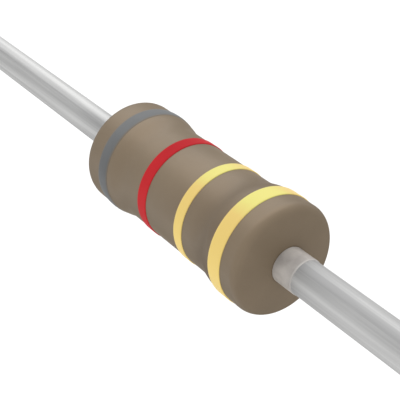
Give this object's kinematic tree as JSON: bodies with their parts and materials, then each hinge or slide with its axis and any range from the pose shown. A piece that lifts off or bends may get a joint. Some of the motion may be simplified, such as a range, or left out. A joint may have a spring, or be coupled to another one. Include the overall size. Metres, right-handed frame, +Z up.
{
  "type": "carbon film resistor",
  "caption": "Axial carbon film resistor with a tan dog-bone body, grey, red and gold colour bands and straight tinned leads for through-hole mounting.",
  "frame": {"origin": "middle of the body, on the wire's axis", "axes": "+X along the wires towards the wide gold tolerance band, +Z up"},
  "size_m": [0.026, 0.0026, 0.0026],
  "materials": {
    "ceramic": "fired, matt",
    "carbon": "dull black carbon film",
    "cap_steel": "pressed, plated",
    "tinned_wire": "drawn and tinned, satin",
    "clear_lacquer": "thin clear lacquer with a warm tint",
    "tan_lacquer": "satin lacquer",
    "grey_paint": "satin paint",
    "red_paint": "satin paint",
    "gold_paint": "pale metallic gold paint"
  },
  "bodies": {
    "root": {"ceramic_rod": "ceramic", "carbon_film": "carbon", "end_cap_left": "cap_steel", "end_cap_right": "cap_steel", "lead_left": "tinned_wire", "lead_right": "tinned_wire", "lacquer_collar_left": "clear_lacquer", "lacquer_collar_right": "clear_lacquer", "lacquer_coat": "tan_lacquer", "band_grey": "grey_paint", "band_red": "red_paint", "band_gold_multiplier": "gold_paint", "band_gold_tolerance": "gold_paint"}
  },
  "joints": []
}
